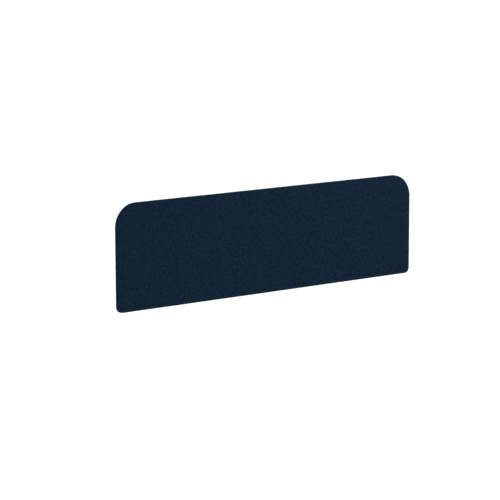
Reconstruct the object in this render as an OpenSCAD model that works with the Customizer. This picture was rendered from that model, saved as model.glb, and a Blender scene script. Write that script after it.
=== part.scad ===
// Desk privacy panel: two moulded felt skins over a rigid core board, held
// behind by two steel desk clamps. Millimetres, +Z up. The front faces -Y.
// Origin: middle of the panel's width, where the desk's top surface meets the
// plane of its rear edge, so the desk lies at y > 0 and z < 0.

/* [Panel] */
// Overall width of the panel
panel_w = 1400; // [1100:10:1800]
// Overall height of the panel
panel_h = 400; // [340:10:600]
// Overall thickness of the panel
panel_t = 18; // [16:0.5:24]
// How far the panel hangs below the desk's top surface
panel_drop = 120; // [115:1:160]
// Radius of the two upper corners
top_corner_r = 88; // [40:1:120]
// Radius of the two lower corners
bottom_corner_r = 21; // [15:1:60]
// Rounding of the outer edges of each felt skin
edge_r = 4; // [2:0.5:6]

/* [Layers] */
// Thickness of each felt skin over the core
skin_t = 4.5; // [3:0.5:6]
// Width of the solid felt rim around the core
rim_w = 7; // [5:0.5:12]

/* [Clamps] */
// Distance between the centres of the two clamps
clamp_pitch = 900; // [500:10:1000]
// Desk thickness that the clamps hold as drawn
desk_t = 25; // [16:1:39]
// Thinnest desk that the clamps reach
desk_t_min = 15; // [15:1:16]
// Thickest desk that fits under the top jaw
desk_t_max = 40; // [39:1:42]
// Thickness of the steel sheet
steel_t = 3; // [2.5:0.5:4]
// Width of the back plate
plate_w = 100; // [96:1:120]
// How far the back plate hangs below the desk's top surface
plate_drop = 100; // [98:1:110]
// Width of the top jaw
top_jaw_w = 60; // [50:1:70]
// Reach of the top jaw over the desk
top_jaw_reach = 60; // [56:1:80]
// Width of the lower jaw
lower_jaw_w = 50; // [46:1:60]
// Reach of the lower jaw under the desk
lower_jaw_reach = 52; // [50:1:60]
// Thickness of the rubber pads
rubber_t = 2; // [1.5:0.5:3]

/* [Clamp screw] */
// Distance of the screw's axis from the desk's rear edge
screw_y = 32; // [30:1:36]
// Major diameter of the screw's thread
screw_d = 8; // [7:0.5:9]
// Diameter of the pressure foot
foot_d = 36; // [30:1:40]
// Thickness of the pressure foot
foot_t = 6; // [6:0.5:8]
// Diameter of the knob over its lobes
knob_d = 40; // [34:1:46]
// Height of the knob
knob_h = 16; // [14:1:18]

/* [Fixings] */
// Thread diameter of the panel fixing screws
fixing_d = 5; // [4:1:6]
// Spacing of the fixing screws across the plate
fixing_dx = 80; // [72:1:80]
// Height of the upper row of fixing screws, below the desk's top surface
fixing_top = 14; // [12:1:18]
// Height of the lower row of fixing screws, below the desk's top surface
fixing_bottom = 88; // [70:1:88]

/* [Hidden] */
$fn = 64;
LEFT = -1;
RIGHT = 1;
eps = 0.01;                 // overshoot of a cut past the face it leaves

navy = [0.04, 0.07, 0.11];
board_brown = [0.62, 0.48, 0.33];
powder_grey = [0.55, 0.56, 0.58];
zinc = [0.72, 0.74, 0.76];
rubber_black = [0.06, 0.06, 0.06];
plastic_black = [0.09, 0.09, 0.10];

// depth of each layer, from the desk's rear edge towards the front
rear_y = -steel_t;
front_y = rear_y - panel_t;
seam_y = rear_y - panel_t / 2;
core_rear_y = rear_y - skin_t;
core_front_y = front_y + skin_t;
core_t = core_rear_y - core_front_y;
bottom_z = -panel_drop;

hole_play = 0.5;            // radial clearance of a plain hole around a screw
bend_r = 1.5;               // inside radius of the steel bends
jaw_corner_r = 10;          // plan rounding of both jaws' free corners
plate_corner_r = 8;         // rounding of the back plate and of the lower jaw's leg
top_jaw_z = rubber_t;       // underside of the top jaw
wing_top_z = -4;            // top of the back plate's full width
jaw_pad_gap = 4;            // from the desk's rear edge to the top jaw's pad
jaw_pad_margin = 3;         // steel left showing round the pad
rivet_d = 5;
rivet_head_d = 9.6;
rivet_head_h = 2;
rivet_dx = 30;              // spacing of the two rivets
jaw_leg = 40;               // height of the lower jaw's vertical leg
rib_w = 5;                  // width of the stiffening ribs in the lower jaw's bend
rib_reach = 10;             // leg length of each rib
rib_dx = 32;                // spacing of the two ribs

foot_top_z = -desk_t;       // face of the foot's rubber pad
foot_z = foot_top_z - rubber_t - foot_t;    // underside of the steel foot
foot_gap = 0.05;            // play along the axis between the screw and the foot
foot_drop = 6;              // space left under the foot when the clamp is fully open
neck_d = 6;                 // neck that the foot turns on
head_d = 10;                // riveted head that holds the foot
head_t = 2;
socket_t = 2.6;             // depth of the recess around the riveted head
socket_play = 0.3;          // radial play around the riveted head
lower_jaw_z = -desk_t_max - rubber_t - foot_t - foot_drop;  // top face of the lower jaw
nut_z = lower_jaw_z - steel_t;              // top face of the weld nut
nut_h = 6.5;
nut_af = 13;                // across the flats
thread_play = 0.05;         // radial play between thread and nut
knob_gap = 2;               // between nut and knob when the clamp is fully closed
knob_top_z = nut_z - nut_h - knob_gap - (desk_t - desk_t_min);
knob_boss_h = 3;
knob_boss_d = 20;
knob_lobes = 6;
scallop_d = 14;
knob_cap_t = 2;             // plastic left under the end of the screw
leg_top_z = lower_jaw_z - steel_t - bend_r; // where the lower jaw's leg leaves its bend
leg_h = jaw_leg - steel_t - bend_r;
rivet_z = leg_top_z - leg_h / 2;

head_sink = 0.2;            // how deep a fixing screw's head sits under the plate's face
screw_head_d = 2 * fixing_d;
screw_l = 15;
cone_play = 0.05;
hex_key = 3;
hex_depth = 2;
tee_flange_d = 19;
tee_flange_t = 1.2;
tee_barrel_d = 6.8;
tee_short = 0.3;            // gap between the barrel's end and the core's rear face

// turns an outline drawn in the XZ plane into a slab that runs from y0 towards +Y
module slab(y0, thick) {
    translate([0, y0 + thick, 0]) rotate([90, 0, 0]) linear_extrude(thick) children();
}

// the panel's outline, pulled in all round by inset
module panel_outline(inset = 0) {
    half_w = panel_w / 2 - inset;
    top_r = top_corner_r - inset;
    bottom_r = bottom_corner_r - inset;
    top_z = bottom_z + panel_h - inset;
    low_z = bottom_z + inset;
    union() {
        translate([-half_w, low_z + bottom_r])
            square([2 * half_w, top_z - top_r - low_z - bottom_r]);
        translate([-half_w + bottom_r, low_z])
            square([2 * (half_w - bottom_r), bottom_r]);
        translate([-half_w + top_r, top_z - top_r])
            square([2 * (half_w - top_r), top_r]);
        for (side = [-1, 1]) {
            translate([side * (half_w - bottom_r), low_z + bottom_r]) circle(bottom_r);
            translate([side * (half_w - top_r), top_z - top_r]) circle(top_r);
        }
    }
}

// section through the rounded edge of one skin: x runs outwards from 0 to reach,
// y from the seam at 0 to the skin's face at panel_t / 2
module edge_section(reach) {
    depth = panel_t / 2;
    union() {
        square([reach - edge_r, depth]);
        square([reach, depth - edge_r]);
        translate([reach - edge_r, depth - edge_r]) circle(edge_r);
    }
}

// a quarter turn of the edge section around a corner's centre, seam at y = 0,
// face towards -Y, starting at the direction "from" in degrees
module corner_block(x, z, r, from) {
    translate([x, 0, z]) rotate([90, 0, 0]) rotate([0, 0, from])
        rotate_extrude(angle = 90) edge_section(r);
}

// a straight stretch of the edge section, r wide, from one corner's centre to the next
module side_block(x, z, r, length, towards) {
    translate([x, 0, z]) rotate([90, 0, 0]) rotate([0, 0, towards])
        rotate([90, 0, 0]) linear_extrude(length) edge_section(r);
}

// one half of the panel, solid: flat at the seam (y = 0), rounded towards -Y
module half_panel() {
    half_w = panel_w / 2;
    low_r = bottom_corner_r;
    top_r = top_corner_r;
    low_x = half_w - low_r;
    top_x = half_w - top_r;
    low_z = bottom_z + low_r;
    top_z = bottom_z + panel_h - top_r;
    corner_block(low_x, low_z, low_r, -90);
    corner_block(-low_x, low_z, low_r, 180);
    corner_block(top_x, top_z, top_r, 0);
    corner_block(-top_x, top_z, top_r, 90);
    side_block(low_x, top_z, low_r, top_z - low_z, 0);
    side_block(-low_x, low_z, low_r, top_z - low_z, 180);
    side_block(-top_x, top_z, top_r, 2 * top_x, 90);
    side_block(low_x, low_z, low_r, 2 * low_x, -90);
    translate([-low_x, -panel_t / 2, low_z])
        cube([2 * low_x, panel_t / 2, top_z - low_z]);
}

// a cylinder or cone along Y, from y0 to y1
module rod_y(y0, y1, r0, r1) {
    translate([0, y0, 0]) rotate([-90, 0, 0]) cylinder(h = y1 - y0, r1 = r0, r2 = r1);
}

// a plain pin or hole along Y
module pin_y(y0, y1, r) {
    rod_y(y0, y1, r, r);
}

// extrudes a section drawn in (y, z) along X, centred on x = 0
module along_x(width) {
    translate([-width / 2, 0, 0]) rotate([90, 0, 90]) linear_extrude(width) children();
}

// a clamp's own place along the panel; its parts below are drawn around x = 0
module at_clamp(side) {
    translate([side * clamp_pitch / 2, 0, 0]) children();
}

module at_fixings() {
    for (x = [-fixing_dx / 2, fixing_dx / 2], z = [-fixing_top, -fixing_bottom])
        translate([x, 0, z]) children();
}

module at_rivets() {
    for (x = [-rivet_dx / 2, rivet_dx / 2]) translate([x, 0, rivet_z]) children();
}

module at_screw(z) {
    translate([0, screw_y, z]) children();
}

// rectangle with four rounded corners, centred in X, from y = 0 to h
module rounded_rect(w, h, r) {
    union() {
        translate([-w / 2 + r, 0]) square([w - 2 * r, h]);
        translate([-w / 2, r]) square([w, h - 2 * r]);
        for (x = [-w / 2 + r, w / 2 - r], y = [r, h - r]) translate([x, y]) circle(r);
    }
}

// tab from y = 0 to reach, square at its root and rounded at its two free corners
module tab(w, reach, r) {
    union() {
        translate([-w / 2, 0]) square([w, reach - r]);
        translate([-w / 2 + r, 0]) square([w - 2 * r, reach]);
        for (x = [-w / 2 + r, w / 2 - r]) translate([x, reach - r]) circle(r);
    }
}

// a right-angle bend of the sheet: the quarter ring between a leg that hangs
// down at y < 0 and a jaw that runs along +Y
module bend_section() {
    outer_r = bend_r + steel_t;
    intersection() {
        difference() {
            circle(outer_r);
            circle(bend_r);
        }
        translate([-outer_r, 0]) square(outer_r);
    }
}

// front skin: a moulded tray, with the hollow that holds half of the core
module front_felt() {
    color(navy) difference() {
        translate([0, seam_y, 0]) half_panel();
        slab(core_front_y, core_t) panel_outline(rim_w);
    }
}

// rear skin: the same tray turned round, with holes for the fixing screws
module back_felt() {
    color(navy) difference() {
        translate([0, seam_y, 0]) mirror([0, 1, 0]) half_panel();
        slab(core_front_y, core_t) panel_outline(rim_w);
        for (side = [LEFT, RIGHT]) at_clamp(side) at_fixings()
            pin_y(core_rear_y - eps, rear_y + eps, fixing_d / 2 + hole_play);
    }
}

module core_board() {
    color(board_brown) difference() {
        slab(core_front_y, core_t) panel_outline(rim_w);
        for (side = [LEFT, RIGHT]) at_clamp(side) at_fixings() {
            pin_y(core_front_y - eps, core_rear_y + eps, tee_barrel_d / 2);
            pin_y(core_front_y - eps, core_front_y + tee_flange_t, tee_flange_d / 2);
        }
    }
}

// flanged nuts pressed in from the front of the core, under the front skin
module tee_nuts() {
    color(zinc) at_fixings() difference() {
        union() {
            pin_y(core_front_y, core_front_y + tee_flange_t, tee_flange_d / 2);
            pin_y(core_front_y, core_rear_y - tee_short, tee_barrel_d / 2);
        }
        pin_y(core_front_y - eps, core_rear_y, fixing_d / 2 + thread_play);
    }
}

// countersunk screws through the back plate and the back skin into the tee nuts
module fixing_screws() {
    head_r = screw_head_d / 2 - head_sink;
    neck_y = -head_sink - head_r + fixing_d / 2;
    color(zinc) at_fixings() difference() {
        union() {
            rod_y(neck_y, -head_sink, fixing_d / 2, head_r);
            pin_y(-head_sink - screw_l, neck_y, fixing_d / 2);
        }
        translate([0, -head_sink + eps, 0]) rotate([90, 0, 0])
            cylinder(h = hex_depth + eps, d = hex_key / cos(30), $fn = 6);
    }
}

// 90 degree countersunk hole through the back plate, open at its rear face
module countersunk_hole() {
    mouth_r = screw_head_d / 2 + cone_play;
    pin_y(-steel_t - eps, eps, fixing_d / 2 + hole_play / 2);
    rod_y(fixing_d / 2 - mouth_r, 0, fixing_d / 2, mouth_r);
    pin_y(-eps, eps, mouth_r);
}

// bent steel plate: a leg behind the panel and the jaw that lies over the desk
module back_plate() {
    bend_z = top_jaw_z - bend_r;
    neck_z = wing_top_z - plate_corner_r;
    color(powder_grey) difference() {
        union() {
            slab(-steel_t, steel_t) translate([0, -plate_drop])
                rounded_rect(plate_w, plate_drop + wing_top_z, plate_corner_r);
            translate([-top_jaw_w / 2, -steel_t, neck_z])
                cube([top_jaw_w, steel_t, bend_z - neck_z]);
            translate([0, bend_r, bend_z]) along_x(top_jaw_w) bend_section();
            translate([0, bend_r, top_jaw_z]) linear_extrude(steel_t)
                tab(top_jaw_w, top_jaw_reach - bend_r, jaw_corner_r);
        }
        at_fixings() countersunk_hole();
        at_rivets() pin_y(-steel_t - eps, eps, rivet_d / 2);
    }
}

// bent steel bracket riveted to the back plate; it carries the nut under the desk
module lower_jaw() {
    color(powder_grey) difference() {
        union() {
            slab(0, steel_t) translate([0, leg_top_z]) mirror([0, 1])
                tab(lower_jaw_w, leg_h, plate_corner_r);
            translate([0, steel_t + bend_r, leg_top_z]) along_x(lower_jaw_w) bend_section();
            translate([0, steel_t + bend_r, nut_z]) linear_extrude(steel_t)
                tab(lower_jaw_w, lower_jaw_reach - steel_t - bend_r, jaw_corner_r);
            for (x = [-rib_dx / 2, rib_dx / 2]) translate([x, steel_t, nut_z])
                along_x(rib_w) rib_section();
        }
        at_screw(nut_z - eps) cylinder(h = steel_t + 2 * eps, r = screw_d / 2 + hole_play);
        at_rivets() pin_y(-eps, steel_t + eps, rivet_d / 2);
    }
}

// triangular rib across the inside of the lower jaw's bend
module rib_section() {
    polygon([[0, 0], [rib_reach, 0], [0, -rib_reach]]);
}

// rivets that join the lower jaw to the back plate, flush on the panel's side
module jaw_rivets() {
    dome_r = (pow(rivet_head_d / 2, 2) + pow(rivet_head_h, 2)) / (2 * rivet_head_h);
    head_top_y = steel_t + rivet_head_h;
    color(zinc) at_rivets() union() {
        pin_y(-steel_t, steel_t, rivet_d / 2);
        intersection() {
            translate([0, head_top_y - dome_r, 0]) sphere(dome_r);
            pin_y(steel_t, head_top_y + 1, rivet_head_d);
        }
    }
}

// hexagon nut under the lower jaw that the clamp screw runs in
module weld_nut() {
    color(zinc) at_screw(nut_z - nut_h) difference() {
        cylinder(h = nut_h, d = nut_af / cos(30), $fn = 6);
        translate([0, 0, -eps]) cylinder(h = nut_h + 2 * eps, r = screw_d / 2 + thread_play);
    }
}

// rubber pad under the top jaw; its lower face lies on the desk
module jaw_pad() {
    color(rubber_black) translate([0, jaw_pad_gap, 0]) linear_extrude(rubber_t)
        rounded_rect(top_jaw_w - 2 * jaw_pad_margin,
            top_jaw_reach - jaw_pad_gap - jaw_pad_margin, jaw_corner_r - jaw_pad_margin);
}

// steel foot that turns on the screw's neck and presses up under the desk
module pressure_foot() {
    color(zinc) at_screw(foot_z) difference() {
        cylinder(h = foot_t, d = foot_d);
        translate([0, 0, -eps]) cylinder(h = foot_t, r = neck_d / 2 + thread_play);
        translate([0, 0, foot_t - socket_t])
            cylinder(h = socket_t + eps, r = head_d / 2 + socket_play);
    }
}

module foot_pad() {
    color(rubber_black) at_screw(foot_top_z - rubber_t)
        cylinder(h = rubber_t, d = foot_d - 2);
}

// spindle: riveted head, neck, thread, and the end that the knob is moulded around
module clamp_screw() {
    head_z = foot_z + foot_t - socket_t + foot_gap;
    thread_z = foot_z - foot_gap;
    end_z = knob_top_z - knob_h + knob_cap_t;
    color(zinc) union() {
        at_screw(head_z) cylinder(h = head_t, d = head_d);
        at_screw(thread_z) cylinder(h = head_z - thread_z, d = neck_d);
        at_screw(end_z) cylinder(h = thread_z - end_z, d = screw_d);
    }
}

// lobed hand knob
module clamp_knob() {
    body_h = knob_h - knob_boss_h;
    color(plastic_black) at_screw(knob_top_z - knob_h) difference() {
        union() {
            cylinder(h = body_h, d = knob_d);
            cylinder(h = knob_h, d = knob_boss_d);
        }
        for (i = [0 : knob_lobes - 1]) rotate([0, 0, i * 360 / knob_lobes])
            translate([knob_d / 2 + scallop_d / 4, 0, -eps])
                cylinder(h = body_h + 2 * eps, d = scallop_d);
        translate([0, 0, knob_cap_t]) cylinder(h = knob_h, d = screw_d);
    }
}

front_felt();
core_board();
back_felt();

at_clamp(LEFT) back_plate();  // back_plate_left
at_clamp(LEFT) lower_jaw();  // lower_jaw_left
at_clamp(LEFT) jaw_rivets();  // jaw_rivets_left
at_clamp(LEFT) weld_nut();  // weld_nut_left
at_clamp(LEFT) jaw_pad();  // jaw_pad_left
at_clamp(LEFT) fixing_screws();  // fixing_screws_left
at_clamp(LEFT) tee_nuts();  // tee_nuts_left
at_clamp(LEFT) pressure_foot();  // pressure_foot_left
at_clamp(LEFT) foot_pad();  // foot_pad_left
at_clamp(LEFT) clamp_screw();  // clamp_screw_left
at_clamp(LEFT) clamp_knob();  // clamp_knob_left

at_clamp(RIGHT) back_plate();  // back_plate_right
at_clamp(RIGHT) lower_jaw();  // lower_jaw_right
at_clamp(RIGHT) jaw_rivets();  // jaw_rivets_right
at_clamp(RIGHT) weld_nut();  // weld_nut_right
at_clamp(RIGHT) jaw_pad();  // jaw_pad_right
at_clamp(RIGHT) fixing_screws();  // fixing_screws_right
at_clamp(RIGHT) tee_nuts();  // tee_nuts_right
at_clamp(RIGHT) pressure_foot();  // pressure_foot_right
at_clamp(RIGHT) foot_pad();  // foot_pad_right
at_clamp(RIGHT) clamp_screw();  // clamp_screw_right
at_clamp(RIGHT) clamp_knob();  // clamp_knob_right
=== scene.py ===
"""Desk privacy panel: two pressed felt skins over a board, held by two steel desk clamps.

Lengths in the mesh code are millimetres in the row frame; M turns them into metres.
Materials, lights and the camera are in metres.
"""

import math

import bmesh
import bpy
from mathutils import Matrix, Vector, noise


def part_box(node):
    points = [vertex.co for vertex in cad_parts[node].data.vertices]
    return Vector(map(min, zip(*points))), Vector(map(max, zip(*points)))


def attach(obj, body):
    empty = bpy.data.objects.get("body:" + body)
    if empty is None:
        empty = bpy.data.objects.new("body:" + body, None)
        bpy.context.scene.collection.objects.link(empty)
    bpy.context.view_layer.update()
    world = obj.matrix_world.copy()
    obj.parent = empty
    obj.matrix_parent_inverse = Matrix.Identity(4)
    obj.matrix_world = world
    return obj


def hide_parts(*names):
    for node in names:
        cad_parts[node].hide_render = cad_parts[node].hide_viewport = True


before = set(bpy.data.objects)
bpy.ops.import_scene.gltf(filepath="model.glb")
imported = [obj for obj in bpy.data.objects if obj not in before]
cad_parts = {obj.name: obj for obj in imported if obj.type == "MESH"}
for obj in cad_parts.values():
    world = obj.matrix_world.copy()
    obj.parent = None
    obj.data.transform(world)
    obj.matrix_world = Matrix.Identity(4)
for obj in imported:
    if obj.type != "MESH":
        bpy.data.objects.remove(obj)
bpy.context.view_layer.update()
scene = bpy.context.scene
M = 0.001
SEAM_Y = -12.0  # plane in which the two felt skins meet
CLAMP_X = {"left": -450.0, "right": 450.0}

# ---------------------------------------------------------------- camera
SENSOR, LENS = 36.0, 153.07  # mm
CAMERA_AZIMUTH, CAMERA_ELEVATION, CAMERA_ROLL = -37.02, 9.47, -0.14  # degrees
CAMERA_DISTANCE, CAMERA_LEFT, CAMERA_DOWN = 8.096, 0.0805, 0.0361  # from the front's middle


def towards(azimuth, elevation):
    """Direction from the object. Azimuth 0 is the front, and 90 is its right-hand end."""
    a = math.radians(azimuth)
    e = math.radians(elevation)
    return Vector((math.sin(a) * math.cos(e), -math.cos(a) * math.cos(e), math.sin(e)))


def make_camera():
    low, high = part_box("front_felt")
    target = Vector(((low.x + high.x) / 2, low.y, (low.z + high.z) / 2))
    back = towards(CAMERA_AZIMUTH, CAMERA_ELEVATION)
    level = towards(CAMERA_AZIMUTH + 90, 0)
    upright_axis = back.cross(level)
    roll = math.radians(CAMERA_ROLL)
    right = level * math.cos(roll) + upright_axis * math.sin(roll)
    up = upright_axis * math.cos(roll) - level * math.sin(roll)
    data = bpy.data.cameras.new("camera")
    data.sensor_width = SENSOR
    data.lens = LENS
    data.clip_start, data.clip_end = 0.1, 200
    camera = bpy.data.objects.new("camera", data)
    scene.collection.objects.link(camera)
    place = target + back * CAMERA_DISTANCE - right * CAMERA_LEFT - up * CAMERA_DOWN
    camera.matrix_world = (
        Matrix.Translation(place) @ Matrix((right, up, back)).transposed().to_4x4()
    )
    scene.camera = camera


make_camera()

# ---------------------------------------------------------------- studio
FLOOR_Z = -0.74  # the desk's top is at 0
FLOOR_RADIUS = 90
SOFTBOX_FROM = (42, 58)  # azimuth and elevation
LIGHT_SPREAD = math.radians(80)


def make_studio():
    bm = bmesh.new()
    bmesh.ops.create_circle(bm, cap_ends=True, radius=FLOOR_RADIUS, segments=128)
    bmesh.ops.translate(bm, verts=bm.verts, vec=(0, 0, FLOOR_Z))
    mesh = bpy.data.meshes.new("studio_floor")
    bm.to_mesh(mesh)
    bm.free()
    floor = bpy.data.objects.new("studio_floor", mesh)
    scene.collection.objects.link(floor)
    paper = bpy.data.materials.new("studio_paper")
    paper.use_nodes = True
    shader = paper.node_tree.nodes["Principled BSDF"]
    shader.inputs["Base Color"].default_value = (0.9, 0.9, 0.9, 1)
    shader.inputs["Roughness"].default_value = 0.9
    shader.inputs["Specular IOR Level"].default_value = 0.1
    mesh.materials.append(paper)

    def lamp(name, kind, power, azimuth, elevation):
        data = bpy.data.lights.new(name, kind)
        data.energy = power
        light = bpy.data.objects.new(name, data)
        light.rotation_mode = "QUATERNION"
        light.rotation_quaternion = towards(azimuth, elevation).to_track_quat("Z", "Y")
        scene.collection.objects.link(light)
        return light

    softbox = lamp("softbox", "AREA", 9, *SOFTBOX_FROM)
    softbox.location = Vector((0.3, 0, 0.3)) + towards(*SOFTBOX_FROM) * 1.25
    softbox.data.size = 1.1
    softbox.visible_camera = False
    lamp("high_light", "SUN", 2.2, 20, 80).data.angle = LIGHT_SPREAD
    lamp("back_light", "SUN", 1.3, 165, 35).data.angle = LIGHT_SPREAD

    # The surroundings are white near the horizon and a soft grey above.
    world = bpy.data.worlds.new("studio")
    scene.world = world
    world.use_nodes = True
    nodes = world.node_tree.nodes
    links = world.node_tree.links
    where = nodes.new("ShaderNodeTexCoord")
    split = nodes.new("ShaderNodeSeparateXYZ")
    ramp = nodes.new("ShaderNodeValToRGB")
    background = nodes["Background"]
    links.new(where.outputs["Generated"], split.inputs[0])
    links.new(split.outputs["Z"], ramp.inputs[0])
    links.new(ramp.outputs["Color"], background.inputs["Color"])
    horizon, sky = ramp.color_ramp.elements
    horizon.position = 0.12
    horizon.color = (1, 1, 1, 1)
    sky.position = 0.3
    sky.color = (0.27, 0.28, 0.29, 1)
    background.inputs["Strength"].default_value = 1.1
    scene.view_settings.view_transform = "Standard"


make_studio()


# ---------------------------------------------------------------- materials
class Paint:
    """A procedural material: a Principled shader and short calls that feed it."""

    def __init__(self, name, **values):
        self.material = bpy.data.materials.new(name)
        self.material.use_nodes = True
        self.nodes = self.material.node_tree.nodes
        self.links = self.material.node_tree.links
        self.shader = self.nodes["Principled BSDF"]
        for socket, value in values.items():
            self.shader.inputs[socket.replace("_", " ")].default_value = value
        self.where = self.nodes.new("ShaderNodeTexCoord").outputs["Object"]

    def link(self, source, target):
        """Feeds a socket from another node's output, or sets it to a plain value."""
        if hasattr(source, "links"):
            self.links.new(source, target)
        else:
            target.default_value = source

    def turned(self, angle=0.0, scale=(1, 1, 1), tilt=0.0):
        """Object coordinates turned about Y by angle degrees, stretched, then tilted about X."""
        turn = self.nodes.new("ShaderNodeMapping")
        turn.inputs["Rotation"].default_value = (0, math.radians(angle), 0)
        stretch = self.nodes.new("ShaderNodeMapping")
        stretch.inputs["Scale"].default_value = scale
        stretch.inputs["Rotation"].default_value = (math.radians(tilt), 0, 0)
        self.links.new(self.where, turn.inputs["Vector"])
        self.links.new(turn.outputs[0], stretch.inputs["Vector"])
        return stretch.outputs[0]

    def noise(self, scale, detail=2.0, rough=0.5, vector=None, warp=0.0):
        node = self.nodes.new("ShaderNodeTexNoise")
        self.links.new(vector or self.where, node.inputs["Vector"])
        node.inputs["Scale"].default_value = scale
        node.inputs["Detail"].default_value = detail
        node.inputs["Roughness"].default_value = rough
        node.inputs["Distortion"].default_value = warp
        return node.outputs[0]

    def lines(self, vector, spacing, sway, curl):
        """Wavy parallel lines across Z, spacing metres apart: 1 on a line, 0 between two."""
        node = self.nodes.new("ShaderNodeTexWave")
        node.bands_direction = "Z"
        self.links.new(vector, node.inputs["Vector"])
        node.inputs["Scale"].default_value = math.pi / 10 / spacing
        node.inputs["Distortion"].default_value = sway
        node.inputs["Detail"].default_value = 1.5
        node.inputs["Detail Scale"].default_value = curl
        node.inputs["Detail Roughness"].default_value = 0.5
        return node.outputs["Fac"]

    def away_from(self, y):
        """Distance from the plane at y."""
        split = self.nodes.new("ShaderNodeSeparateXYZ")
        self.links.new(self.where, split.inputs[0])
        offset = self.nodes.new("ShaderNodeMath")
        offset.operation = "ABSOLUTE"
        self.links.new(self.sum(split.outputs["Y"], -y), offset.inputs[0])
        return offset.outputs[0]

    def fit(self, value, low, high, to_low, to_high, smooth=False):
        """Maps the range low to high onto to_low to to_high, and clips what lies outside."""
        node = self.nodes.new("ShaderNodeMapRange")
        node.interpolation_type = "SMOOTHSTEP" if smooth else "LINEAR"
        for i, v in enumerate((value, low, high, to_low, to_high)):
            self.link(v, node.inputs[i])
        return node.outputs[0]

    def sum(self, *values, how="ADD"):
        total = values[0]
        for v in values[1:]:
            node = self.nodes.new("ShaderNodeMath")
            node.operation = how
            self.link(total, node.inputs[0])
            self.link(v, node.inputs[1])
            total = node.outputs[0]
        return total

    def times(self, value, factor):
        return self.sum(value, factor, how="MULTIPLY")

    def blend(self, factor, a, b):
        """Colour a where factor is 0, and colour b where it is 1."""
        node = self.nodes.new("ShaderNodeMix")
        node.data_type = "RGBA"
        # The node has a set of sockets for each data type: the colours are 6 and 7, out at 2.
        self.link(factor, node.inputs[0])
        self.link(a, node.inputs[6])
        self.link(b, node.inputs[7])
        return node.outputs[2]

    def near_edges(self, reach):
        """0 on flat ground, rising to 1 at the edges, whose influence ends reach metres away."""
        eased = self.nodes.new("ShaderNodeBevel")
        eased.samples = 6
        eased.inputs["Radius"].default_value = reach
        facing = self.nodes.new("ShaderNodeNewGeometry")
        match = self.nodes.new("ShaderNodeVectorMath")
        match.operation = "DOT_PRODUCT"
        self.links.new(eased.outputs[0], match.inputs[0])
        self.links.new(facing.outputs["True Normal"], match.inputs[1])
        return self.fit(match.outputs["Value"], 0.995, 0.90, 0, 1)

    def bump(self, height, distance, strength):
        node = self.nodes.new("ShaderNodeBump")
        node.inputs["Strength"].default_value = strength
        node.inputs["Distance"].default_value = distance
        self.link(height, node.inputs["Height"])
        self.links.new(node.outputs[0], self.shader.inputs["Normal"])

    def set(self, socket, source):
        self.link(source, self.shader.inputs[socket])


def rgb(r, g, b):
    return (r, g, b, 1.0)


def felt_material():
    """Pressed felt: a web of fine curved fibres, pale and dark ones among the navy."""
    p = Paint(
        "navy_felt",
        Roughness=0.93,
        Specular_IOR_Level=0.02,
        Sheen_Weight=0.02,
        Sheen_Roughness=0.5,
        Sheen_Tint=rgb(0.3, 0.5, 0.8),
    )

    def fibres(angle, spacing, thickness, shift):
        """Curly threads along one main direction, each fading out after a while.

        spacing and thickness are in mm. shift turns the mask that ends the threads, and tilts
        them, so that they don't all run straight across the panel's edge.
        """
        rounded = (math.pi * thickness / spacing / 2) ** 2
        field = p.lines(p.turned(angle, tilt=shift - 45), spacing * M, 11.0, 0.4)
        line = p.fit(field, 1 - rounded, 1 - rounded / 3, 0, 1, smooth=True)
        patch = p.noise(1.0, 0.0, 0.5, p.turned(angle + shift, (240, 240, 150)), 0.8)
        return p.times(line, p.fit(patch, 0.53, 0.62, 0, 1, smooth=True))

    clumps = p.noise(100, 0.8, 0.5)
    clouds = p.noise(30, 2.0, 0.5)
    pale = p.sum(
        fibres(12, 1.1, 0.17, 31),
        fibres(57, 1.5, 0.15, 74),
        fibres(101, 1.3, 0.17, 15),
        fibres(131, 1.0, 0.14, 52),
        fibres(163, 1.7, 0.18, 88),
        how="MAXIMUM",
    )
    dark = p.sum(
        fibres(36, 1.3, 0.20, 43),
        fibres(82, 1.1, 0.17, 9),
        fibres(118, 1.6, 0.22, 67),
        fibres(149, 1.4, 0.19, 25),
        how="MAXIMUM",
    )
    shade = p.sum(p.fit(clumps, 0.25, 0.75, 0.0, 0.89), p.fit(clouds, 0.2, 0.8, 0, 0.08))
    colour = p.blend(shade, rgb(0.0015, 0.0080, 0.0190), rgb(0.0070, 0.0195, 0.0379))
    colour = p.blend(p.times(dark, 0.75), colour, rgb(0.0008, 0.0044, 0.0115))
    colour = p.blend(p.times(pale, 0.8), colour, rgb(0.018, 0.036, 0.060))
    # Painted shade: darker from just behind the two faces to the seam, along the edge band round
    # the panel.
    painted_edge_shade = p.fit(p.away_from(SEAM_Y * M), 0.0089, 0.0076, 0.0, 0.12)
    p.set("Base Color", p.blend(painted_edge_shade, colour, rgb(0, 0, 0)))
    grain = p.noise(1800, 2.0, 0.6)
    threads = p.sum(p.times(pale, 0.6), p.times(dark, -0.4))
    p.bump(p.sum(threads, grain, clumps), 0.00018, 0.8)
    return p.material


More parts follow.
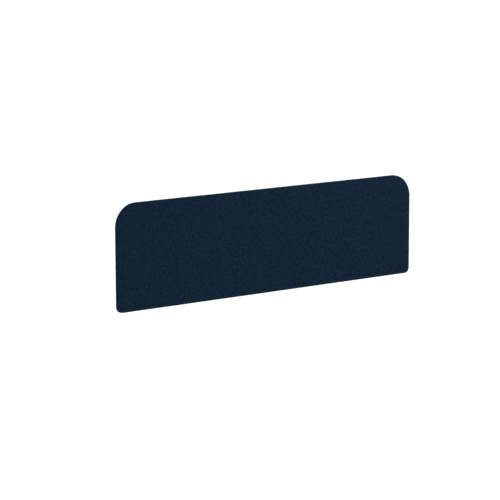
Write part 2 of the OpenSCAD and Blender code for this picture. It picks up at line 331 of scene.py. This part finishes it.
def steel_coat_material():
    """Fine-textured grey powder coat, a little rubbed on its faces and along its edges, where the
    lighter colour is also a painted highlight.
    """
    p = Paint("powder_coated_steel", Roughness=0.5, Specular_IOR_Level=0.5)
    peel = p.noise(900, 2.0, 0.5)
    speck = p.noise(2600, 1.0, 0.5)
    rub = p.noise(45, 4.0, 0.65)
    handled = p.fit(p.noise(260, 3.0, 0.7), 0.36, 0.6, 0, 1)
    # Lighter along the edges: rubbed wear, and partly a painted highlight where the rounded edges
    # would catch the light.
    edge_wear_and_highlight = p.times(p.near_edges(0.0011), handled)
    colour = p.blend(p.fit(rub, 0.35, 0.7, 0, 1), rgb(0.265, 0.275, 0.29), rgb(0.33, 0.34, 0.355))
    colour = p.blend(p.fit(speck, 0.58, 0.7, 0, 0.5), colour, rgb(0.45, 0.46, 0.48))
    colour = p.blend(p.times(edge_wear_and_highlight, 0.6), colour, rgb(0.56, 0.57, 0.59))
    p.set("Base Color", colour)
    texture = p.fit(p.sum(peel, rub), 0.7, 1.3, 0.42, 0.62)
    p.set("Roughness", p.sum(texture, p.times(edge_wear_and_highlight, -0.14)))
    p.bump(p.sum(peel, speck), 0.00008, 0.7)
    return p.material


def zinc_material():
    """Bright zinc plating with faint clouds and fine scratches."""
    p = Paint("zinc_plated_steel", Metallic=1.0, Roughness=0.3)
    clouds = p.noise(160, 3.0, 0.6)
    drawn = p.noise(1.0, 2.0, 0.6, p.turned(20, (300, 3000, 3200)))
    tone = p.fit(clouds, 0.35, 0.65, 0, 1)
    p.set("Base Color", p.blend(tone, rgb(0.58, 0.61, 0.65), rgb(0.72, 0.71, 0.67)))
    p.set("Roughness", p.fit(p.sum(clouds, drawn), 0.7, 1.3, 0.22, 0.4))
    p.bump(p.sum(drawn, clouds), 0.000008, 0.6)
    return p.material


def rubber_material():
    """Matt black rubber with a bloom of dust and a fine grain."""
    p = Paint("black_rubber", Roughness=0.75, Specular_IOR_Level=0.35)
    dust = p.noise(320, 3.0, 0.6)
    bloom = p.fit(dust, 0.4, 0.75, 0, 1)
    p.set("Base Color", p.blend(bloom, rgb(0.016, 0.016, 0.017), rgb(0.045, 0.044, 0.042)))
    p.set("Roughness", p.fit(dust, 0.35, 0.7, 0.66, 0.9))
    p.bump(p.noise(3000, 1.0, 0.5), 0.00006, 0.6)
    return p.material


def plastic_material():
    """Black moulded plastic with a spark-eroded surface, handled along its lobes, where the
    lighter colour is also a painted highlight.
    """
    p = Paint("black_plastic", Roughness=0.5, Specular_IOR_Level=0.5)
    grain = p.noise(2200, 1.0, 0.5)
    scuff = p.noise(120, 4.0, 0.7)
    # Lighter along the edges: handling wear, and partly a painted highlight on the rounded lobes.
    edge_wear_and_highlight = p.times(p.near_edges(0.0015), p.fit(scuff, 0.35, 0.6, 0, 1))
    tone = p.fit(scuff, 0.5, 0.75, 0, 1)
    colour = p.blend(tone, rgb(0.018, 0.018, 0.020), rgb(0.042, 0.042, 0.044))
    p.set("Base Color", p.blend(p.times(edge_wear_and_highlight, 0.5), colour, rgb(0.07, 0.07, 0.072)))
    texture = p.fit(p.sum(grain, scuff), 0.7, 1.3, 0.4, 0.62)
    p.set("Roughness", p.sum(texture, p.times(edge_wear_and_highlight, -0.12)))
    p.bump(grain, 0.00007, 0.7)
    return p.material


def board_material():
    """Raw fibreboard with short pressed fibres."""
    p = Paint("core_fibreboard", Roughness=0.85)
    chips = p.noise(1.0, 3.0, 0.6, p.turned(8, (90, 400, 420)))
    tone = p.fit(chips, 0.3, 0.7, 0, 1)
    p.set("Base Color", p.blend(tone, rgb(0.33, 0.22, 0.13), rgb(0.50, 0.37, 0.24)))
    p.bump(chips, 0.0002, 0.5)
    return p.material


FINISH = {
    "navy_felt": felt_material(),
    "powder_coated_steel": steel_coat_material(),
    "zinc_plated_steel": zinc_material(),
    "black_rubber": rubber_material(),
    "black_plastic": plastic_material(),
    "core_fibreboard": board_material(),
}


# ---------------------------------------------------------------- mesh helpers
def mm(node):
    """Lowest and highest corner of a CAD node, in millimetres."""
    low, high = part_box(node)
    return low / M, high / M


def loft(bm, rings, start="cap", end="cap"):
    """Quads between rings of equal length. Each end is capped or left open.

    With start="join" the last ring is joined round to the first, and neither end is capped.
    """
    made = [[bm.verts.new(Vector(p) * M) for p in ring] for ring in rings]
    pairs = list(zip(made, made[1:]))
    if start == "join":
        pairs.append((made[-1], made[0]))
    count = len(made[0])
    for a, b in pairs:
        for i in range(count):
            j = (i + 1) % count
            bm.faces.new((a[i], a[j], b[j], b[i]))
    if start == "cap":
        bm.faces.new(made[0][::-1])
    if end == "cap" and start != "join":
        bm.faces.new(made[-1])


def polar(profile, place, columns, spin=0.0):
    """Rings round an axis. profile holds (radius or function of angle, height) pairs."""
    rings = []
    for radius, height in profile:
        ring = []
        for i in range(columns):
            angle = 2 * math.pi * i / columns
            r = radius(angle) if callable(radius) else radius
            turn = angle + spin
            ring.append(place(r * math.cos(turn), r * math.sin(turn), height))
        rings.append(ring)
    return rings


def upright(x, y):
    """Places a turned shape on a vertical axis."""
    return lambda a, b, h: (x + a, y + b, h)


def lying(x, z):
    """Places a turned shape on an axis along Y."""
    return lambda a, b, h: (x + a, h, z + b)


def arc(centre, radius, start, end, steps):
    """Points on a circle in a profile, both ends included."""
    points = []
    for k in range(steps + 1):
        a = math.radians(start + (end - start) * k / steps)
        points.append((centre[0] + radius * math.cos(a), centre[1] + radius * math.sin(a)))
    return points


def hexagon(across_flats):
    """Radius of a hexagon's outline at an angle."""

    def radius(angle):
        folded = (angle % (math.pi / 3)) - math.pi / 6
        return across_flats / 2 / math.cos(folded)

    return radius


def piece(name, bm, body, slot, node, sharp):
    """Makes the finished object, which rides on body and stands for a CAD node.

    Edges over sharp degrees stay crisp.
    """
    bmesh.ops.remove_doubles(bm, verts=bm.verts, dist=1e-7)
    bmesh.ops.recalc_face_normals(bm, faces=bm.faces)
    mesh = bpy.data.meshes.new(name)
    bm.to_mesh(mesh)
    bm.free()
    mesh.shade_smooth()
    mesh.set_sharp_from_angle(angle=math.radians(sharp))
    mesh.materials.append(FINISH[slot])
    obj = bpy.data.objects.new(name, mesh)
    scene.collection.objects.link(obj)
    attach(obj, body)
    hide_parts(node)
    return obj


def outline_rows(half, low, top, low_r, top_r, step, low_steps, top_steps):
    """Rows (half width, height, outward direction of the right-hand end) of a rounded rectangle.

    half is its half width, low and top its heights, and low_r and top_r its corner radii.
    The straight side is divided every step, and the corners into low_steps and top_steps.
    """
    rows = []
    for k in range(low_steps):
        a = math.pi / 2 * k / low_steps
        width = half - low_r + low_r * math.sin(a)
        height = low + low_r * (1 - math.cos(a))
        rows.append((width, height, (math.sin(a), -math.cos(a))))
    from_v = low + low_r
    to_v = top - top_r
    count = math.ceil((to_v - from_v) / step)
    for k in range(count + 1):
        rows.append((half, from_v + (to_v - from_v) * k / count, (1.0, 0.0)))
    for k in range(1, top_steps + 1):
        a = math.pi / 2 * k / top_steps
        width = half - top_r + top_r * math.cos(a)
        height = to_v + top_r * math.sin(a)
        rows.append((width, height, (math.cos(a), math.sin(a))))
    return rows


def slab(bm, rows, columns, profile, place, relief):
    """A plate with a gridded face. columns are fractions of the half width.

    profile holds (outward offset, depth) from the face's edge round to the back, which is
    one flat face. relief(u, v) is how deep the face lies, and fades out down the edge.
    """
    grid = [[(half * c, v, relief(half * c, v)) for c in columns] for half, v, _ in rows]
    verts = [[bm.verts.new(Vector(place(*p)) * M) for p in row] for row in grid]
    last, top = len(columns) - 1, len(rows) - 1
    for below, above in zip(verts, verts[1:]):
        for i in range(last):
            bm.faces.new((below[i], below[i + 1], above[i + 1], above[i]))
    loop = [(i, 0) for i in range(last + 1)]
    loop += [(last, j) for j in range(1, top + 1)]
    loop += [(i, top) for i in range(last - 1, -1, -1)]
    loop += [(0, j) for j in range(top - 1, 0, -1)]
    ring = [verts[j][i] for i, j in loop]
    fade_depth = 4 * profile[0][1] + 3
    for offset, depth in profile:
        fade = max(0.0, 1 - depth / fade_depth)
        new = []
        for i, j in loop:
            u, v, shift = grid[j][i]
            nu, nv = rows[j][2]
            if i == 0:
                nu = -nu
            elif i < last:
                nu, nv = 0.0, (-1.0 if j == 0 else 1.0)
            point = place(u + nu * offset, v + nv * offset, depth + shift * fade)
            new.append(bm.verts.new(Vector(point) * M))
        for k in range(len(ring)):
            n = (k + 1) % len(ring)
            bm.faces.new((ring[k], ring[n], new[n], new[k]))
        ring = new
    bm.faces.new(ring)


# ---------------------------------------------------------------- felt skins
TOP_R, LOW_R = 88.0, 21.0  # radii of the panel's upper and lower corners
EDGE_R = 4.0  # rounding between face and edge
RIM = 7.0  # width of the band in which the two skins meet
SKIN_T = 4.5
LIP_R = 0.7  # rounding at the seam
RELIEF_GRID = 5.0
FIXING_DX, FIXING_ROWS = 80.0, (-14.0, -88.0)
FIXING_HOLE_R = 3.0


def felt_relief(x, z):
    """Slight unevenness of the pressed face, inwards positive."""
    broad = noise.noise(Vector((x / 90, 3.1, z / 90)))
    fine = noise.noise(Vector((x / 22, 7.7, z / 22)))
    return 0.12 * (1 + broad) / 2 + 0.05 * fine


def felt_skin(name, node, face_y, inwards):
    """A moulded tray whose face lies at face_y. inwards is the direction of its depth."""
    low, high = mm(node)
    rows = outline_rows(
        high.x - EDGE_R,
        low.z + EDGE_R,
        high.z - EDGE_R,
        LOW_R - EDGE_R,
        TOP_R - EDGE_R,
        RELIEF_GRID,
        8,
        26,
    )
    count = round((high.x - low.x) / RELIEF_GRID)
    columns = [-1 + 2 * i / count for i in range(count + 1)]
    seam = high.y - low.y
    profile = arc((0, EDGE_R), EDGE_R, -75, 0, 5)
    profile += [(EDGE_R, 0.6 * seam)]
    profile += arc((EDGE_R - LIP_R, seam - LIP_R), LIP_R, 0, 90, 3)
    profile += [(EDGE_R - RIM, seam), (EDGE_R - RIM, SKIN_T)]
    bm = bmesh.new()
    slab(bm, rows, columns, profile, lambda x, z, t: (x, face_y + inwards * t, z), felt_relief)
    return piece(name, bm, "panel", "navy_felt", node, sharp=50)


def drill(obj, holes, radius, y0, y1):
    """Cuts round holes along Y through a piece, from y0 to y1."""
    bm = bmesh.new()
    for x, z in holes:
        loft(bm, polar([(radius, y0), (radius, y1)], lying(x, z), 24))
    bmesh.ops.recalc_face_normals(bm, faces=bm.faces)
    mesh = bpy.data.meshes.new("cutter")
    bm.to_mesh(mesh)
    bm.free()
    cutter = bpy.data.objects.new("cutter", mesh)
    scene.collection.objects.link(cutter)
    cut = obj.modifiers.new("holes", "BOOLEAN")
    cut.object = cutter
    cut.operation = "DIFFERENCE"
    cut.solver = "EXACT"
    dg = bpy.context.evaluated_depsgraph_get()
    old = obj.data
    obj.data = bpy.data.meshes.new_from_object(obj.evaluated_get(dg), depsgraph=dg)
    obj.data.name = old.name
    obj.modifiers.clear()
    bpy.data.objects.remove(cutter)


def fixings(x):
    """Places (x, z) of the four screws that hold a clamp on the panel."""
    return [(x + dx, z) for dx in (-FIXING_DX / 2, FIXING_DX / 2) for z in FIXING_ROWS]


felt_skin("front_skin", "front_felt", mm("front_felt")[0].y, 1)
rear_face = mm("back_felt")[1].y
rear_skin = felt_skin("rear_skin", "back_felt", rear_face, -1)
holes = fixings(CLAMP_X["left"]) + fixings(CLAMP_X["right"])
drill(rear_skin, holes, FIXING_HOLE_R, rear_face - SKIN_T - 1.5, rear_face + 1.0)


# ---------------------------------------------------------------- clamp pieces
SCREW_Y = 32.0  # axis of both clamp screws
PITCH, MAJOR_R, MINOR_R = 1.25, 4.0, 3.32  # M8 x 1.25 thread
NECK_R, HEAD_R, HEAD_T = 3.0, 5.0, 2.0
ROUND = 96  # columns of the larger turned pieces


def clamp_screw(side):
    """M8 spindle: a true right-hand helix, its neck and its riveted head."""
    low, high = mm(f"clamp_screw_{side}")
    thread_low, thread_high = low.z, mm(f"pressure_foot_{side}")[0].z - 0.05
    head_low = high.z - HEAD_T
    columns = 48
    run_out = 1.3
    # The thread's section: share of the pitch, and radius.
    form = [(0.0, MINOR_R), (0.25, MINOR_R), (0.5625, MAJOR_R), (0.6875, MAJOR_R)]
    turns = math.ceil((thread_high - thread_low) / PITCH) + 2
    bm = bmesh.new()
    x0 = CLAMP_X[side]
    rows = []
    for turn in range(turns):
        for share, radius in form:
            row = []
            for i in range(columns):
                z = thread_low + PITCH * (turn - 1 + share + i / columns)
                z = min(max(z, thread_low), thread_high)
                full = min(1.0, (z - thread_low) / run_out, (thread_high - z) / run_out)
                r = MINOR_R + (radius - MINOR_R) * full
                a = 2 * math.pi * i / columns
                point = Vector((x0 + r * math.cos(a), SCREW_Y + r * math.sin(a), z))
                row.append(bm.verts.new(point * M))
            rows.append(row)
    # A row's last point joins the row one turn further on, which makes one true helix.
    for k in range(len(rows) - 1):
        for i in range(columns):
            if i < columns - 1:
                quad = (rows[k][i], rows[k][i + 1], rows[k + 1][i + 1], rows[k + 1][i])
            elif k + 1 + len(form) < len(rows):
                n = k + len(form)
                quad = (rows[k][i], rows[n][0], rows[n + 1][0], rows[k + 1][i])
            else:
                continue
            bm.faces.new(quad)
    bmesh.ops.remove_doubles(bm, verts=bm.verts, dist=1e-7)
    head = [
        (MINOR_R, thread_high),
        (NECK_R, thread_high),
        (NECK_R, head_low),
        (HEAD_R - 0.3, head_low),
        (HEAD_R, head_low + 0.3),
        (HEAD_R, high.z - 0.6),
        (HEAD_R - 0.6, high.z),
    ]
    loft(bm, polar(head, upright(x0, SCREW_Y), columns), start="open")
    tail = [(MINOR_R - 0.8, thread_low), (MINOR_R, thread_low)]
    loft(bm, polar(tail, upright(x0, SCREW_Y), columns), end="open")
    piece(
        f"threaded_spindle_{side}",
        bm,
        f"screw_{side}",
        "zinc_plated_steel",
        f"clamp_screw_{side}",
        sharp=30,
    )


LOBES, LOBE_R = 6, 20.0
SCALLOP_R, SCALLOP_AT = 7.0, 23.5  # radius of a scallop, and its centre's distance
KNOB_EDGE_R = 1.9


def lobed(inset, rounding=1.6):
    """Radius of the knob's outline, pulled in by inset, with its corners eased."""

    def radius(angle):
        step = 2 * math.pi / LOBES
        folded = (angle + step / 2) % step - step / 2
        outer = LOBE_R - inset
        reach = SCALLOP_R + inset
        across = SCALLOP_AT * math.sin(folded)
        if abs(across) >= reach:
            return outer
        hollow = SCALLOP_AT * math.cos(folded) - math.sqrt(reach**2 - across**2)
        gap = max(0.0, rounding - abs(outer - hollow)) / rounding
        return min(outer, hollow) - gap * gap * rounding / 4

    return radius


def clamp_knob(side):
    """Six-lobed hand knob with rounded edges, a raised boss and a dished underside."""
    low, high = mm(f"clamp_knob_{side}")
    z0 = low.z
    z1 = high.z
    body_top = z1 - 3.0
    rows = [(2.0, z0 + 1.3), (10.6, z0 + 1.3), (11.3, z0 + 1.1), (11.7, z0 + 0.3)]
    rows += [(12.1, z0 + 0.08), (12.7, z0)]
    for out, up in arc((0, z0 + KNOB_EDGE_R), KNOB_EDGE_R, -90, 0, 6):
        rows.append((lobed(KNOB_EDGE_R - out), up))
    rows += [(lobed(0.15), z0 + 5.5), (lobed(0.15), z0 + 7.0)]
    for out, up in arc((0, body_top - KNOB_EDGE_R), KNOB_EDGE_R, 0, 90, 6):
        rows.append((lobed(KNOB_EDGE_R - out), up))
    rows += [(lobed(4.6), body_top - 0.05), (12.0, body_top), (10.9, body_top + 0.25)]
    rows += [(10.3, body_top + 0.7), (10.0, body_top + 1.4), (9.85, z1 - 0.6)]
    rows += [(9.6, z1 - 0.15), (9.1, z1), (5.0, z1), (4.35, z1 - 0.3), (4.05, z1 - 0.9)]
    rows += [(4.02, z0 + 2.0)]
    bm = bmesh.new()
    loft(bm, polar(rows, upright(CLAMP_X[side], SCREW_Y), 180))
    piece(
        f"lobed_knob_{side}",
        bm,
        f"screw_{side}",
        "black_plastic",
        f"clamp_knob_{side}",
        sharp=45,
    )


def weld_nut(side):
    """Chamfered hexagon nut with three short weld beads against the jaw."""
    low, high = mm(f"weld_nut_{side}")
    flats = 13.0
    bore = 4.05
    shape = hexagon(flats)
    cone_r = flats / 2 - 0.1
    slope = 1 / math.tan(math.radians(30))
    heights = [0.0, 0.08, 0.16, 0.26, 0.38, 0.52, 0.68, 1.2, high.z - low.z]
    rows = [(bore, low.z + 0.5), (bore + 0.5, low.z)]
    for h in heights:
        rows.append((lambda a, h=h: min(shape(a), cone_r + h * slope), low.z + h))
    rows += [(bore, high.z)]
    bm = bmesh.new()
    loft(bm, polar(rows, upright(CLAMP_X[side], SCREW_Y), ROUND), start="join")
    bead_half, bead_out, bead_down, steps = 3.4, 1.5, 1.4, 24
    for k in range(3):
        around = math.radians(30 + 120 * k)
        out = Vector((math.cos(around), math.sin(around), 0))
        along = Vector((-math.sin(around), math.cos(around), 0))
        centre = Vector((CLAMP_X[side], SCREW_Y, high.z - 0.2)) + out * (flats / 2 + 0.1)
        rings = []
        for k_ring in range(1, steps):
            t = -1 + 2 * k_ring / steps
            fat = math.sqrt(1 - t * t) * (1 + 0.09 * math.sin(k_ring * 2.1))
            ring = []
            for i in range(16):
                a = math.pi / 8 * i
                drop = math.sin(a) * (1 if math.sin(a) < 0 else 0.12)
                point = centre + along * (t * bead_half) + out * (bead_out * fat * math.cos(a))
                ring.append(point + Vector((0, 0, bead_down * fat * drop)))
            rings.append(ring)
        loft(bm, rings)
    piece(
        f"welded_nut_{side}",
        bm,
        "panel",
        "zinc_plated_steel",
        f"weld_nut_{side}",
        sharp=32,
    )


def pressure_foot(side):
    """Turned steel foot with a relieved underside and a groove round its edge."""
    low, high = mm(f"pressure_foot_{side}")
    z0 = low.z
    z1 = high.z
    r = 18.0
    rows = [(3.05, z0 + 0.4), (3.45, z0), (8.4, z0), (8.9, z0 + 0.12), (9.4, z0 + 0.5)]
    rows += [(14.2, z0 + 0.5), (14.7, z0 + 0.12), (15.2, z0)]
    rows += arc((r - 1.2, z0 + 1.2), 1.2, -90, 0, 6)
    rows += [(r, z0 + 2.5), (r - 0.45, z0 + 2.75), (r - 0.45, z0 + 3.25), (r, z0 + 3.5)]
    rows += arc((r - 0.6, z1 - 0.6), 0.6, 0, 90, 4)
    rows += [(5.3, z1), (5.3, z1 - 2.6), (3.05, z1 - 2.6)]
    bm = bmesh.new()
    loft(bm, polar(rows, upright(CLAMP_X[side], SCREW_Y), ROUND), start="join")
    piece(
        f"swivel_foot_{side}",
        bm,
        f"foot_{side}",
        "zinc_plated_steel",
        f"pressure_foot_{side}",
        sharp=32,
    )


def foot_pad(side):
    """Round rubber pad with three ring grooves in its gripping face."""
    low, high = mm(f"foot_pad_{side}")
    z0 = low.z
    z1 = high.z
    r = 17.0
    rows = [(1.0, z1)]
    for groove in (4.6, 8.8, 13.0):
        rows += [(groove - 0.7, z1), (groove - 0.45, z1 - 0.6)]
        rows += [(groove + 0.45, z1 - 0.6), (groove + 0.7, z1)]
    rows += arc((r - 0.7, z1 - 0.7), 0.7, 90, 0, 5)
    rows += [(r, z0 + 0.2), (r - 0.2, z0)]
    bm = bmesh.new()
    loft(bm, polar(rows, upright(CLAMP_X[side], SCREW_Y), ROUND))
    piece(
        f"grooved_foot_pad_{side}",
        bm,
        f"foot_{side}",
        "black_rubber",
        f"foot_pad_{side}",
        sharp=32,
    )


def jaw_pad(side):
    """Rubber pad under the top jaw, with cross ribs left between grooves in its face."""
    low, high = mm(f"jaw_pad_{side}")
    ease = 0.5
    corner = 7.0
    x0 = CLAMP_X[side]
    rows = outline_rows(
        (high.x - low.x) / 2 - ease,
        low.y + ease,
        high.y - ease,
        corner - ease,
        corner - ease,
        0.5,
        10,
        10,
    )
    marks = (0, 0.12, 0.3, 0.5, 0.7, 0.85, 0.885, 0.92, 1)
    columns = [-c for c in marks[:0:-1]] + list(marks)
    rib_pitch = 5.0
    groove_depth = 0.55

    def ribs(x, y):
        if abs(x) > 0.89 * (high.x - low.x) / 2 or not low.y + 4 < y < high.y - 4:
            return 0.0
        wave = math.cos(2 * math.pi * (y - low.y) / rib_pitch)
        return groove_depth * min(1.0, max(0.0, wave * 2.2 - 0.9))

    profile = [(ease * math.sin(a), ease * (1 - math.cos(a))) for a in (0.52, 1.05, 1.5708)]
    profile += [(ease, high.z - low.z - 0.15), (ease - 0.15, high.z - low.z)]
    bm = bmesh.new()
    slab(bm, rows, columns, profile, lambda x, y, t: (x0 + x, y, low.z + t), ribs)
    piece(f"ribbed_jaw_pad_{side}", bm, "panel", "black_rubber", f"jaw_pad_{side}", sharp=35)


def jaw_rivets(side):
    """Domed rivets, dished slightly at the crown."""
    low, high = mm(f"jaw_rivets_{side}")
    centre = (low + high) / 2
    bm = bmesh.new()
    for dx in (-15.0, 15.0):
        rows = [(2.5, low.y), (2.5, 3.0), (4.75, 3.0), (4.8, 3.2), (4.72, 3.45)]
        rows += [(4.4, 3.85), (3.8, 4.28), (3.0, 4.64), (2.2, 4.86), (1.5, 4.96)]
        rows += [(1.1, 4.93), (0.5, 4.86)]
        loft(bm, polar(rows, lying(centre.x + dx, centre.z), 56))
    piece(
        f"domed_rivets_{side}",
        bm,
        "panel",
        "zinc_plated_steel",
        f"jaw_rivets_{side}",
        sharp=40,
    )


def fixing_screws(side):
    """M5 countersunk screws with hexagon sockets, each left at its own angle."""
    low, high = mm(f"fixing_screws_{side}")
    face = high.y
    tip = low.y
    head_r = 4.8
    shank_r = 2.5
    key = hexagon(3.0)
    bm = bmesh.new()
    for k, (x, z) in enumerate(fixings(CLAMP_X[side])):
        rows = [(2.0, tip), (shank_r, tip + 0.5), (shank_r, face - head_r + shank_r)]
        rows += [(head_r - 0.25, face - 0.25), (head_r, face - 0.12), (head_r - 0.14, face)]
        rows += [(2.05, face), (1.8, face - 0.12)]
        rows += [(key, face - 0.35), (key, face - 1.9), (0.4, face - 2.4)]
        loft(bm, polar(rows, lying(x, z), 48, spin=math.radians(17 + 23 * k)))
    piece(
        f"countersunk_screws_{side}",
        bm,
        "panel",
        "zinc_plated_steel",
        f"fixing_screws_{side}",
        sharp=32,
    )


for side in ("left", "right"):
    clamp_screw(side)
    clamp_knob(side)
    weld_nut(side)
    pressure_foot(side)
    foot_pad(side)
    jaw_pad(side)
    jaw_rivets(side)
    fixing_screws(side)


# ---------------------------------------------------------------- CAD nodes that stay
SHEARED_EDGE = 0.45


def keep(node, slot, edge=0.0):
    """Gives a CAD node its finish and, where edge is given, rounds its crisp edges."""
    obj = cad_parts[node]
    obj.data.materials.clear()
    obj.data.materials.append(FINISH[slot])
    weld = obj.modifiers.new("weld", "WELD")
    weld.merge_threshold = 1e-6
    if edge:
        flats = obj.modifiers.new("flats", "DECIMATE")
        flats.decimate_type = "DISSOLVE"
        flats.angle_limit = math.radians(1)
        bevel = obj.modifiers.new("edges", "BEVEL")
        bevel.width = edge * M
        bevel.segments = 3
        bevel.limit_method = "ANGLE"
        bevel.angle_limit = math.radians(50)
        bevel.use_clamp_overlap = False
        obj.modifiers.new("normals", "WEIGHTED_NORMAL")
    obj.data.shade_smooth()


for side in ("left", "right"):
    keep(f"back_plate_{side}", "powder_coated_steel", SHEARED_EDGE)
    keep(f"lower_jaw_{side}", "powder_coated_steel", SHEARED_EDGE)
    keep(f"tee_nuts_{side}", "zinc_plated_steel")
keep("core_board", "core_fibreboard")
